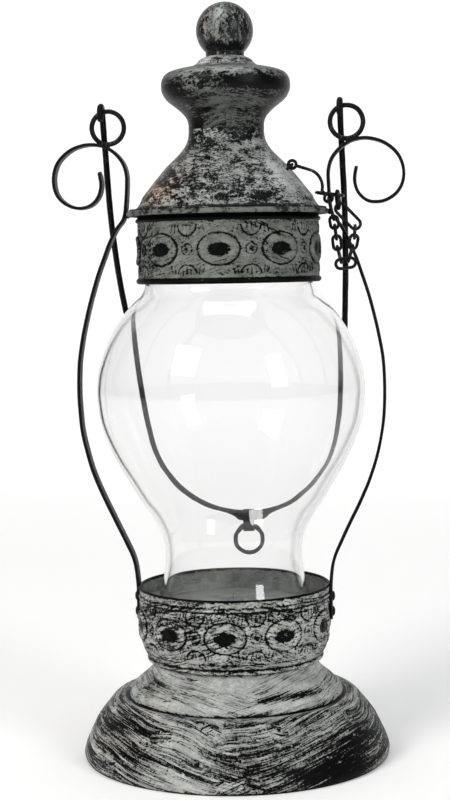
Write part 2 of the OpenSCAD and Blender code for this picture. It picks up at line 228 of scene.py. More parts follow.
# ---------------------------------------------------------------- shader helpers
class G:
    def __init__(s, name):
        s.m = bpy.data.materials.new(name); s.m.use_nodes = True
        s.t = s.m.node_tree; s.b = s.t.nodes["Principled BSDF"]
    def put(s, sock, v):
        if isinstance(v, bpy.types.NodeSocket): s.t.links.new(v, sock)
        elif v is not None: sock.default_value = v
    def math(s, op, a, b=None, c=None, clamp=False):
        n = s.t.nodes.new("ShaderNodeMath"); n.operation = op; n.use_clamp = clamp
        for k, v in enumerate((a, b, c)):
            if v is not None: s.put(n.inputs[k], v)
        return n.outputs[0]
    def attr(s, name, kind="Fac"):
        n = s.t.nodes.new("ShaderNodeAttribute"); n.attribute_name = name
        return n.outputs[kind]
    def obj(s):
        if not hasattr(s, "_o"): s._o = s.t.nodes.new("ShaderNodeTexCoord").outputs["Object"]
        return s._o
    def scale(s, v, xyz):
        n = s.t.nodes.new("ShaderNodeVectorMath"); n.operation = "MULTIPLY"
        s.put(n.inputs[0], v); n.inputs[1].default_value = xyz
        return n.outputs[0]
    def noise(s, v, scale, detail=4, rough=0.55, dist=0.0):
        n = s.t.nodes.new("ShaderNodeTexNoise"); s.put(n.inputs["Vector"], v)
        n.inputs["Scale"].default_value = scale; n.inputs["Detail"].default_value = detail
        n.inputs["Roughness"].default_value = rough; n.inputs["Distortion"].default_value = dist
        return n.outputs["Fac"]
    def step(s, v, lo, hi, a=0.0, b=1.0):
        n = s.t.nodes.new("ShaderNodeMapRange"); n.interpolation_type = "SMOOTHSTEP"
        s.put(n.inputs["Value"], v); s.put(n.inputs["From Min"], lo); s.put(n.inputs["From Max"], hi)
        n.inputs["To Min"].default_value = a; n.inputs["To Max"].default_value = b
        return n.outputs["Result"]
    def mix(s, f, a, b):
        n = s.t.nodes.new("ShaderNodeMix"); n.data_type = "RGBA"
        s.put(n.inputs[0], f); s.put(n.inputs[6], a); s.put(n.inputs[7], b)
        return n.outputs[2]
    def mixf(s, f, a, b):
        n = s.t.nodes.new("ShaderNodeMix"); n.data_type = "FLOAT"
        s.put(n.inputs[0], f); s.put(n.inputs[2], a); s.put(n.inputs[3], b)
        return n.outputs[0]
    def bump(s, h, strength, dist):
        n = s.t.nodes.new("ShaderNodeBump"); n.inputs["Strength"].default_value = strength
        n.inputs["Distance"].default_value = dist; s.put(n.inputs["Height"], h)
        s.t.links.new(n.outputs["Normal"], s.b.inputs["Normal"])

BLACK = (0.0008, 0.0008, 0.001, 1)

def paint_mat(name, col, t0=0.08, t1=0.26, mid=0.40, fin=0.60, speck=0.5, big=0.35, hair=0.018, hs=0.9, spec=0.25, gloss=0.45, veil_c=(0.035, 0.038, 0.035, 1)):
    """dry-brushed paint over black: soft patches, hairline strokes, specks and the drawn ink; the patch field also
    carries painted shade and painted highlights, and the pale tint is a painted highlight
    """
    g = G(name)
    fa, fb, w = g.attr("flow_a", "Vector"), g.attr("flow_b", "Vector"), g.attr("stroke")
    patch_and_painted_light, ink, rust_and_painted_highlight = g.attr("patch_and_painted_light"), g.attr("ink"), g.attr("rust_and_painted_highlight")
    def dev(n, k):                      # noise around zero, times k
        return g.math("MULTIPLY", g.math("SUBTRACT", n, 0.5), k)
    def layer(f):
        return g.math("ADD", dev(g.noise(f, 0.38, 2, 0.5, 0.4), 2.4 * mid), dev(g.noise(f, 1.5, 4, 0.7, 0.2), 2.8 * fin))
    a, b = layer(fa), layer(fb)
    wa = g.step(g.math("ADD", w, dev(g.noise(g.obj(), 70.0, 4, 0.7), 5.0)), 0.38, 0.62)
    st = g.mixf(wa, b, a)
    dots = g.noise(g.obj(), 950.0, 3, 0.75, 0.6)
    bigv = dev(g.noise(g.obj(), 30.0, 2, 0.5), 1.6 * big)
    v = g.math("ADD", g.math("ADD", st, dev(dots, 2.6 * speck)), bigv)
    # the patch field: black paint patches and painted shade where positive, painted highlights where negative
    v = g.math("MULTIPLY_ADD", patch_and_painted_light, 0.42, v)
    # drawn ink, and on the foot painted shade under the collar
    v = g.math("MULTIPLY_ADD", ink, 0.52, v)
    patch_and_painted_light_mask = g.step(v, t0, t1)
    def hairs(f, sc, seed):
        n = g.noise(g.scale(f, (1.0, 1.0, 1.0)), sc, 2.0, 0.5, 0.5 + seed)
        d = g.math("ABSOLUTE", g.math("SUBTRACT", n, 0.5))
        br = g.noise(f, sc * 0.45 + seed, 1.5, 0.5)
        wd = g.math("MULTIPLY", g.step(g.math("MULTIPLY_ADD", patch_and_painted_light, 0.12, br), 0.42, 0.66), hair)
        wd = g.math("MAXIMUM", wd, 0.0004)
        n2 = g.t.nodes.new("ShaderNodeMapRange"); n2.interpolation_type = "SMOOTHSTEP"
        g.put(n2.inputs["Value"], g.math("DIVIDE", d, wd)); n2.inputs["From Min"].default_value = 0.5; n2.inputs["From Max"].default_value = 1.3
        n2.inputs["To Min"].default_value = 1.0; n2.inputs["To Max"].default_value = 0.0
        return n2.outputs["Result"]
    ha = g.math("MULTIPLY", g.math("MAXIMUM", hairs(fa, hs, 0.0), hairs(fa, hs * 1.7, 0.13)), g.step(w, 0.15, 0.55))
    hb = g.math("MULTIPLY", g.math("MAXIMUM", hairs(fb, hs, 0.07), hairs(fb, hs * 1.6, 0.21)), g.step(w, 0.85, 0.45))
    hh = g.math("MULTIPLY", g.math("MAXIMUM", ha, hb), g.step(dots, 0.30, 0.52))
    mask = g.math("MAXIMUM", patch_and_painted_light_mask, g.math("MULTIPLY", hh, 0.92))
    tone = g.noise(g.obj(), 150.0, 5, 0.65)
    c1 = g.mix(g.step(g.math("ADD", tone, dev(dots, 0.8)), 0.34, 0.68), tuple(x * 0.74 for x in col[:3]) + (1,), tuple(min(1, x * 1.22) for x in col[:3]) + (1,))
    c1 = g.mix(g.math("MULTIPLY", rust_and_painted_highlight, 0.80, clamp=True), c1, (0.52, 0.38, 0.30, 1))
    # pale tint where the tint spots are negative: a painted highlight
    c1 = g.mix(g.math("MULTIPLY", rust_and_painted_highlight, -0.8, clamp=True), c1, (0.55, 0.60, 0.58, 1))
    veil = g.step(v, t0 - 0.22, t0 + 0.06, 0.0, 0.5)
    c2 = g.mix(veil, c1, veil_c)
    out = g.mix(mask, c2, g.mix(dots, BLACK, (0.0035, 0.0035, 0.004, 1)))
    g.put(g.b.inputs["Base Color"], out)
    g.put(g.b.inputs["Roughness"], g.mixf(mask, g.mixf(tone, 0.62, 0.44), gloss))
    g.b.inputs["Specular IOR Level"].default_value = spec
    h = g.math("ADD", g.math("MULTIPLY", mask, -0.8), g.math("MULTIPLY", st, 0.6))
    h = g.math("MULTIPLY_ADD", dots, 0.5, h)
    g.bump(h, 0.5, 0.00022)
    return g.m

def wire_mat(name, lo, hi, amount=0.5, rough=0.42, scale=420.0, use_ink=False):
    g = G(name)
    n = g.noise(g.obj(), scale, 5, 0.7)
    m = g.noise(g.obj(), scale * 0.18, 3, 0.6)
    v = g.math("ADD", g.math("MULTIPLY", n, 0.6), g.math("MULTIPLY", m, 0.4))
    if use_ink: v = g.math("MULTIPLY_ADD", g.attr("ink"), 0.30, v)
    mask = g.step(v, 0.62 - 0.24 * amount, 0.74 - 0.24 * amount)
    g.put(g.b.inputs["Base Color"], g.mix(mask, lo, hi))
    g.put(g.b.inputs["Roughness"], g.mixf(mask, rough, rough + 0.2))
    g.b.inputs["Specular IOR Level"].default_value = 0.09
    g.bump(g.math("ADD", n, mask), 0.35, 0.00018)
    return g.m

m_foot = paint_mat("paint_foot", (0.45, 0.465, 0.435, 1), t0=0.09, t1=0.17, mid=0.48, fin=0.78, speck=0.42, hair=0.034, hs=0.8, spec=0.05)
m_dome = paint_mat("paint_dome", (0.37, 0.39, 0.375, 1), t0=0.03, t1=0.16, mid=0.75, fin=0.80, speck=0.75, big=0.75, hair=0.040, hs=0.9, spec=0.14, gloss=0.34)
# the vent colour is kept this dark partly for its own dark paint and partly as painted shade of its downward-facing
# lower flank
m_vent_dark_and_painted_shade = paint_mat("paint_vent_dark_and_painted_shade", (0.118, 0.124, 0.110, 1), t0=0.04, t1=0.16, mid=0.42, fin=0.62, speck=0.45, hair=0.024, hs=0.9, spec=0.10, gloss=0.30)
m_crown = paint_mat("paint_crown", (0.54, 0.56, 0.535, 1), t0=0.06, t1=0.18, mid=0.5, fin=0.85, speck=0.9, hair=0.034, spec=0.10)
m_band = paint_mat("paint_band", (0.46, 0.475, 0.44, 1), t0=0.135, t1=0.21, mid=0.34, fin=0.74, speck=0.66, big=0.30, hair=0.024, hs=0.8, spec=0.05)
m_uband = paint_mat("paint_upper_band", (0.180, 0.198, 0.172, 1), t0=0.13, t1=0.23, mid=0.24, fin=0.46, speck=0.52, big=0.25, hair=0.014, hs=0.8, spec=0.05)
m_ball = paint_mat("paint_ball", (0.235, 0.250, 0.230, 1), t0=-0.06, t1=0.12, mid=0.60, fin=0.75, speck=0.60, hair=0.030, hs=0.9, spec=0.30, gloss=0.24)
m_hoop = wire_mat("hoop_black", (0.004, 0.004, 0.0045, 1), (0.150, 0.158, 0.146, 1), 0.62, 0.45, 520.0, True)
m_strip = wire_mat("strip_black", (0.005, 0.005, 0.0055, 1), (0.115, 0.120, 0.118, 1), 0.35, 0.36, 600.0, True)
m_bail = wire_mat("bail_black", (0.003, 0.003, 0.0035, 1), (0.045, 0.047, 0.047, 1), 0.30, 0.38, 700.0)
m_ring = wire_mat("ring_dark", (0.006, 0.006, 0.0065, 1), (0.085, 0.088, 0.085, 1), 0.40, 0.36, 900.0)
m_weld = wire_mat("weld_black", (0.005, 0.005, 0.0055, 1), (0.05, 0.052, 0.052, 1), 0.35, 0.45, 900.0)
m_screw = wire_mat("screw_zinc", (0.30, 0.30, 0.31, 1), (0.45, 0.45, 0.46, 1), 0.5, 0.35, 500.0)
m_plate = wire_mat("plate_paint", (0.33, 0.36, 0.335, 1), (0.50, 0.53, 0.505, 1), 0.9, 0.5, 180.0)

def glass_mat():
    g = G("clear_glass")
    b = g.b
    b.inputs["Base Color"].default_value = (1, 1, 1, 1)
    b.inputs["Transmission Weight"].default_value = 1.0
    b.inputs["IOR"].default_value = 1.45
    g.put(b.inputs["Roughness"], g.mixf(g.noise(g.obj(), 60.0, 3), 0.0, 0.010))
    g.bump(g.noise(g.obj(), 22.0, 2, 0.4), 0.05, 0.0010)
    v = g.t.nodes.new("ShaderNodeVolumeAbsorption")
    v.inputs["Color"].default_value = (0.40, 0.42, 0.40, 1); v.inputs["Density"].default_value = 24.0
    g.t.links.new(v.outputs[0], g.t.nodes["Material Output"].inputs["Volume"])
    return g.m
m_glass = glass_mat()

# ---------------------------------------------------------------- foot
foot_out = cr([[69.2, 0.5], [69.6, 1.3], [69.9, 3.3], [68.9, 6.9], [67.4, 10.4], [65.6, 14.0], [63.9, 17.4], [61.5, 20.7],
    [58.6, 24.3], [56.3, 27.0], [54.4, 28.4], [52.4, 28.8], [50.6, 28.3], [49.4, 28.2], [48.7, 29.6], [47.5, 31.8],
    [45.0, 34.4], [42.2, 36.7], [39.8, 38.8], [38.3, 40.8], [37.8, 43.0], [37.6, 45.2]], 6)
foot_in = side(foot_out, 0.8)
keep = (foot_in[:, 1] > 1.6) & (foot_in[:, 1] < 45.1)
foot_in = foot_in[keep][::-1]
loop = np.vstack([[[67.1, 0.25], [67.4, 0.0], [68.6, 0.0], [69.0, 0.15]], foot_out, [[37.35, 45.75], [36.9, 46.0], [20, 46.0], [2.25, 46.0], [2.25, 45.2], [20, 45.2], [36.4, 45.15]],
                  foot_in, [[67.6, 1.7], [67.1, 1.4]]])
n_out = 4 + len(foot_out) + 3
outer = [1] * n_out + [0] * (len(loop) - n_out)
# ink: the drawn groove line at z 28.25 and the dark bottom edge, plus painted shade over the neck top under the collar
# (z above 43.5)
groove_lines_and_collar_shade = lambda R, Z, PH: np.exp(-((np.abs(Z - 28.25) / 0.7) ** 2)) * np.exp(-((R - 49.6) / 0.9) ** 2) * 1.2 + 0.8 * np.exp(-((Z - 0.2) / 0.7) ** 2) + 0.5 * (Z > 43.5)
# foot spots: black paint patches, plus painted shade at the left and right edges (-72 and 75 degrees) and painted
# highlights in the pale bands across the front at z 31.2, 36 and 41; the pale tint at the front at z 33 is a painted
# highlight too
painted("foot_skin", loop, outer, 360, m_foot, "frame", ["foot_shell"], 22.0, 1.05, -0.30, 0.03,
        [(40, 4, 26, 6, 1.3), (75, 10, 18, 9, 0.45), (46, 13, 16, 6, 0.3), (0, 31.2, 100, 1.5, -0.7), (0, 41, 100, 3.2, -0.8), (34, 34.5, 22, 1.1, 1.1), (-32, 41.5, 9, 1.2, 1.3), (-62, 36, 12, 4, 0.45), (5, 27, 30, 1.0, 0.5), (14, 10, 10, 2.5, 0.7), (-60, 12, 12, 2.5, 0.6), (55, 15, 14, 2.2, 0.7), (-20, 12, 14, 3, 0.35), (-45, 13, 26, 4, 0.35), (-72, 20, 20, 6, 0.45), (-55, 4, 25, 4, 0.3), (30, 17, 30, 3, 0.35),
         (0, 36, 60, 6, -0.35), (60, 24, 20, 4, 0.3), (150, 12, 40, 8, 0.4), (-140, 8, 30, 6, 0.35), (0, 12, 14, 5, 0.1)],
        rust_and_painted_highlight=[(-55, 16, 18, 8, 0.22), (-40, 30, 14, 5, 0.15), (5, 33, 40, 4, -0.25)], ink=groove_lines_and_collar_shade)

# ---------------------------------------------------------------- embossed bands
def ornament(zc, radius, n, zlo, zhi, up=10.4):
    """height and ink of the pressed pattern, in mm, over (R, Z, PH)"""
    P = 2 * math.pi * radius / n
    ph0 = -math.pi / 2
    def field(Z, PH):
        k = (PH - ph0) / (2 * math.pi / n)
        s = (k - np.round(k)) * P                        # from the nearest oval
        t = P / 2 - np.abs(s)                            # from the nearest small boss
        t = t * np.sign(s + 1e-9)
        z = Z - zc
        e = np.hypot(s / 9.3, z / 7.0)
        dm = (e - 1) * 8.1
        h = 0.55 * smooth01((1 - e) * 9)                                   # oval stands out
        h += 0.40 * np.exp(-((e - 0.76) / 0.13) ** 2)                      # its rounded rim
        h -= 0.38 * smooth01((0.62 - e) * 6)                               # dished middle
        h += 0.30 * smooth01((0.30 - e) * 5)
        line = np.exp(-(dm / 0.42) ** 2)
        h -= 0.35 * line
        ink = 1.05 * line + 1.30 * smooth01((1.0 - np.hypot(s / 5.9, (z + 0.2) / 3.5)) * 2.6)
        d = np.hypot(t, z)
        h += 0.55 * np.exp(-((d - 1.5) / 0.62) ** 2) + 0.15 * (d < 1.0)
        ink += 1.1 * np.exp(-(d / 1.0) ** 2) + 0.75 * np.exp(-((d - 2.45) / 0.35) ** 2)
        for sg, hh, ww in ((1, 4.9, 4.5), (-1, 3.8, 4.5)):
            zz = z * sg
            q = np.hypot(t / ww, (zz - up) / hh)
            lower = smooth01((up + 0.4 - zz) / 0.8)
            u = np.exp(-(((q - 1) * 4.2) / 0.36) ** 2) * lower
            h += -0.28 * u + 0.30 * smooth01((1 - q) * 4) * lower
            ink += 1.0 * u
            for tt in (-1.9, 0.0, 1.9):                                    # ribs inside the cup
                r = np.exp(-((t - tt) / 0.28) ** 2) * smooth01((zz - up + 3.2 - abs(tt) * 0.4) / 0.8) * smooth01((up + 0.6 - zz) / 0.6)
                ink += 0.65 * r; h -= 0.15 * r
            for tt, tl in ((5.6, 0.35), (7.2, 0.55)):                      # leaves beside it
                x = np.abs(t) - tt - (up - zz) * tl * 0.5
                r = np.exp(-(x / 0.32) ** 2) * smooth01((zz - up + 4.2) / 1.0) * smooth01((up + 0.4 - zz) / 0.8) * smooth01((e - 1.04) * 12)
                ink += 0.6 * r; h -= 0.2 * r
                x2 = x - 0.8
                h += 0.22 * np.exp(-(x2 / 0.5) ** 2) * smooth01((zz - up + 4.2) / 1.0) * smooth01((up + 0.4 - zz) / 0.8) * smooth01((e - 1.04) * 12)
        fade = smooth01((Z - zlo) / 0.8) * smooth01((zhi - Z) / 0.8)
        return h * fade, ink * fade
    return field

def band_piece(name, loop, outer, field, nphi, mat, body, replaces, patch_and_painted_light, spots, rust_and_painted_highlight, ring_ink, seed):
    outer = np.asarray(outer, float)
    def disp(R, Z, PH):
        h, _ = field(Z, PH)
        side_w = np.where(outer[:, None] > 0.5, 1.0, 0.0)
        dent = 0.10 * vnoise(np.stack([R * np.cos(PH) / 7, R * np.sin(PH) / 7, Z / 5], -1), 5)
        return (h + dent) * side_w * (np.abs(outer[:, None]) > 0)
    def ink(R, Z, PH):
        _, i = field(Z, PH)
        rough = 0.5 + 0.5 * vnoise(np.stack([R * np.cos(PH) / 1.3, R * np.sin(PH) / 1.3, Z / 1.3], -1), 11)
        return i * (0.62 + 0.6 * rough) + ring_ink(R, Z)
    return painted(name, loop, outer, nphi, mat, body, replaces, 9.0, 1.3, 0.30, patch_and_painted_light, spots, rust_and_painted_highlight=rust_and_painted_highlight, disp=disp, ink=ink, seed=seed)

def arc(cx, cz, r, a0, a1, n=10):
    a = np.radians(np.linspace(a0, a1, n))
    return np.stack([cx + r * np.cos(a), cz + r * np.sin(a)], 1)

# lower gallery collar
f_low = ornament(61.6, 43.3, 10, 50.5, 72.6, up=9.8)
wall_lo = cr([[40.3, 46.9], [40.7, 47.9], [41.8, 50.0], [42.9, 54.4], [43.3, 58.6], [43.3, 72.4]], 5)
zz = np.arange(59.0, 72.5, 0.30)
wall = np.vstack([wall_lo[wall_lo[:, 1] < 58.7], np.stack([np.full(len(zz), 43.3), zz], 1)])
wall = dense(wall, 0.30)
outl = np.vstack([[[38.2, 44.75]], arc(39.2, 45.5, 1.15, -110, 62, 14), [[40.05, 46.75]], wall,
    [[43.05, 72.75]], arc(42.9, 73.5, 0.85, -50, 50, 8), [[43.1, 74.4], [43.25, 75.4], [43.25, 76.5]], arc(42.95, 77.5, 0.85, -35, 180, 16)])
inl = np.array([[42.35, 76.6], [42.5, 75.5], [42.5, 70.0], [42.5, 66.0], [42.5, 62.0], [42.45, 58.0], [42.1, 54.6], [41.0, 50.4], [40.0, 48.2], [39.6, 46.85], [20, 46.8], [2.25, 46.8], [2.25, 46.05], [20, 46.05], [38.1, 46.05], [37.95, 45.4]])
loop = np.vstack([outl, inl])
outer = np.array([1.0] * len(outl) + [0.0] * len(inl))
ring = lambda R, Z: 1.0 * np.exp(-((Z - 72.75) / 0.45) ** 2) + 0.8 * np.exp(-((Z - 74.55) / 0.4) ** 2) + 1.3 * smooth01((Z - 77.3) / 0.5) + 1.1 * np.exp(-((Z - 46.75) / 0.6) ** 2) + 0.7 * np.exp(-((Z - 49.4) / 0.35) ** 2) + 0.8 * np.exp(-((Z - 44.5) / 0.5) ** 2)
# spots at -80 and 82 degrees are painted shade on the left and right edges; the others are black paint patches
band_piece("gallery_skin", loop, outer, f_low, 960, m_band, "frame", ["gallery_collar"], 0.0,
           [(-55, 70, 22, 6, 0.35), (20, 72, 30, 2.5, 0.5), (60, 58, 16, 8, 0.2), (-80, 60, 14, 14, 0.5), (82, 62, 14, 14, 0.5)], [], ring, 5.0)

# upper band of the lid
f_up = ornament(230.3, 40.8, 9, 218.4, 242.2, up=10.6)
zz = np.arange(218.0, 242.4, 0.30)
outl = np.vstack([arc(40.45, 216.6, 1.3, -150, 50, 16), [[41.0, 217.8]], np.stack([np.full(len(zz), 40.8), zz], 1), [[40.85, 242.6]],
    arc(40.65, 243.5, 0.98, -60, 60, 10), [[40.8, 244.5], [40.8, 246.0], [40.8, 247.88]]])
inl = np.array([[40.0, 247.88], [40.0, 243.5], [40.0, 236.0], [40.0, 230.0], [40.0, 224.0], [40.0, 218.0], [39.6, 217.3]])
loop = np.vstack([outl, inl])
outer = np.array([1.0] * len(outl) + [0.0] * len(inl))
ring = lambda R, Z: 1.5 * smooth01((Z - 242.5) / 0.4) + 1.25 * smooth01((218.1 - Z) / 0.4) - 0.3 * np.exp(-((Z - 216.9) / 0.35) ** 2)
# spots at -75 and 85 degrees are painted shade on the left and right edges
band_piece("upper_band_skin", loop, outer, f_up, 960, m_uband, "lid", ["upper_band"], -0.10,
           [(-75, 230, 18, 14, 0.7), (85, 230, 14, 14, 0.6), (0, 241.5, 400, 1.6, 0.25), (0, 220, 60, 1.2, 0.2), (-48, 224, 12, 6, 0.3), (52, 222, 10, 5, 0.3)], [], ring, 9.0)

# ---------------------------------------------------------------- dome, vent, crown, ball
dome_out = cr([[41.6, 248.75], [40.6, 249.7], [39.7, 250.9], [38.9, 252.4], [38.0, 254.3], [35.2, 257.8], [32.4, 261.4], [29.4, 265.0], [26.9, 267.8],
    [24.2, 270.3], [20.6, 273.9], [18.3, 277.2], [17.2, 280.4], [16.9, 283.6]], 7)
loop = np.vstack([[[44.0, 247.92], [44.35, 248.1], [44.4, 248.35], [44.2, 248.65], [43.6, 248.72], [42.2, 248.72]], dome_out[1:], [[16.1, 283.65], [16.05, 287.9], [15.3, 287.9], [15.3, 282.8]],
                  side(dome_out, 0.8)[::-1][6:-4], [[40.9, 248.4], [40.4, 247.92]]])
n_out = 6 + len(dome_out) - 1
dent = lambda R, Z, PH: 0.10 * vnoise(np.stack([R * np.cos(PH) / 9, R * np.sin(PH) / 9, Z / 7], -1), 21) * (Z > 249.5) * (Z < 283)
# dome spots: painted shade at the left and right edges (-88 and 85 degrees) and all round the top under the vent (z
# 285); the pale spots at 42 and 65 degrees and the pale tint at 42 degrees are a painted highlight on the right; the
# positive tints at the left are rust
painted("dome_skin", loop, [1] * n_out + [0] * (len(loop) - n_out), 360, m_dome, "lid", ["dome_shell"], 3.4, 1.5, -0.12, 0.0,
        [(0, 248.4, 400, 0.5, 0.9), (-60, 256, 26, 5, 0.35), (15, 254, 30, 4, 0.45), (65, 262, 22, 6, -0.4), (10, 276, 30, 5, 0.15), (-30, 263, 20, 6, 0.35), (0, 285, 400, 6, 0.55), (-60, 281, 25, 6, 0.5), (-20, 276, 14, 4, 0.35), (85, 256, 14, 8, 0.5), (42, 262, 11, 8, -0.5), (-88, 253, 10, 5, 0.7), (-15, 268, 24, 4, 0.25)],
        rust_and_painted_highlight=[(-58, 258, 22, 8, 1.2), (-80, 252, 20, 5, 0.6), (42, 262, 10, 8, -0.9), (-28, 255, 5, 4, -0.4)], disp=dent,
        ink=lambda R, Z, PH: 0.8 * np.exp(-((Z - 249.0) / 0.35) ** 2) + 0.35 * np.exp(-((Z - 252.4) / 0.3) ** 2) + 0.25 * np.exp(-((Z - 254.6) / 0.25) ** 2), seed=3.0)

bulge_out = cr([[16.9, 283.7], [17.1, 287.0], [18.5, 290.0], [21.9, 293.4], [26.4, 297.0], [28.5, 300.4], [28.9, 303.2], [28.4, 306.3],
    [26.2, 308.9], [21.0, 310.5], [16.4, 311.2]], 7)
loop = np.vstack([bulge_out, [[10, 311.25], [2.25, 311.25], [2.25, 310.45], [10, 310.45], [16.0, 310.4]], side(bulge_out, 0.8)[::-1][2:]])
n_out = len(bulge_out) + 2
# vent spots: painted shade on the right edge (75 and 80 degrees); the pale front spots at z 294 and 309 and the pale
# tints at z 303 and 307.5 are painted highlights; the patch at 32 degrees is black paint and the positive tint at -85
# degrees is rust
painted("vent_skin", loop, [1] * n_out + [0] * (len(loop) - n_out), 300, m_vent_dark_and_painted_shade, "lid", ["vent_bulge"], 5.0, 1.3, 0.15, 0.0,
        [(32, 302.5, 26, 2.8, 2.4), (-62, 300, 24, 4.5, 1.2), (-20, 303, 16, 2, 0.4), (0, 297, 60, 2, 0.2), (80, 297, 20, 5, 0.8), (-50, 284, 22, 4, 0.6), (-40, 291, 20, 4, 0.6), (-50, 286, 18, 4, 0.5), (0, 309, 60, 2, -0.3), (0, 294, 30, 3, -0.25), (75, 304, 16, 4, 0.5), (170, 300, 50, 5, 0.5)],
        rust_and_painted_highlight=[(-85, 303, 22, 6, 0.15), (0, 307.5, 60, 2.2, -0.55), (-30, 303, 20, 4, -0.25)], seed=7.0)

crown_out = cr([[16.6, 311.3], [14.4, 312.1], [12.9, 313.3], [11.6, 314.7], [9.4, 315.8]], 6)
loop = np.vstack([crown_out, [[8.6, 316.0], [2.25, 316.0], [2.25, 315.3], [8.8, 315.2]], side(crown_out, 0.8)[::-1][2:-2]])
n_out = len(crown_out) + 2
painted("crown_skin", loop, [1] * n_out + [0] * (len(loop) - n_out), 200, m_crown, "lid", ["crown_cap"], 3.0, 1.1, 0.1, -0.15,
        [(30, 314, 30, 3, 0.5), (70, 313, 15, 3, 0.5)], ink=lambda R, Z, PH: 0.5 * np.exp(-((Z - 311.5) / 0.3) ** 2), seed=11.0)

a = np.radians(np.linspace(-46.5, 89.2, 70))
ball = np.stack([12.8 * np.cos(a), 327.5 + 12.8 * np.sin(a)], 1)
loop = np.vstack([[[2.25, 316.0], [8.0, 316.0], [8.55, 316.15], [8.6, 316.6], [8.62, 317.5]], ball, [[0.02, 340.3], [0.02, 330.0], [2.05, 325.8]]])
n_out = 5 + len(ball) + 1
dent = lambda R, Z, PH: 0.12 * vnoise(np.stack([R * np.cos(PH) / 5, R * np.sin(PH) / 5, Z / 5], -1), 31) * (R > 3)
# ball spots: painted shade all round the bottom (z 319) and at the left and right edges (-75 and 85 degrees); the pale
# spot and pale tint at the upper left (-20 and -12 degrees) are a painted highlight; the positive tint at the left is
# rust
painted("ball_skin", loop, [1] * n_out + [0] * (len(loop) - n_out), 200, m_ball, "lid", ["finial_ball"], 1.8, 5.0, 0.0, 0.20,
        [(-20, 334, 22, 5, -0.5), (60, 332, 30, 6, -0.1), (0, 319, 400, 2.2, 1.1), (-75, 330, 26, 8, 0.5), (85, 328, 14, 9, 0.7), (25, 326, 16, 4, 0.5)], rust_and_painted_highlight=[(-62, 333, 22, 6, 0.8), (-12, 335, 10, 4, -0.7)], disp=dent, seed=13.0)

# ---------------------------------------------------------------- chimney
glass_out = cr([[35.4, 70.3], [34.5, 73.2], [32.7, 79.5], [31.4, 86.6], [31.0, 93.0], [32.0, 100.0], [34.4, 106.0], [37.6, 111.5], [41.7, 117.5],
    [46.5, 125.7], [51.8, 134.9], [56.1, 144.0], [59.2, 153.1], [60.5, 162.3], [60.7, 168.5], [59.6, 177.0], [56.2, 187.2], [52.1, 195.4],
    [47.0, 202.8], [42.6, 207.6], [39.5, 211.0], [38.1, 214.4], [37.8, 218.0], [37.8, 226.2]], 8)
gi = side(glass_out, 1.6)
def cap_pts(p, q, up):
    """rounded glass lip from p to q"""
    c = (p + q) / 2; r = np.linalg.norm(p - q) / 2
    a0 = math.atan2(*(p - c)[::-1])
    return np.array([c + r * np.array([math.cos(a0 + t), math.sin(a0 + t)]) for t in np.linspace(0, math.pi, 7)[1:-1] * up])
loop = np.vstack([glass_out, cap_pts(glass_out[-1], gi[-1], 1), gi[::-1], cap_pts(gi[0], glass_out[0], 1)])
V, F, PH, R, Z = revolve(loop, 256)
make("chimney_glass", V, F, m_glass, "frame", ["glass_chimney"])

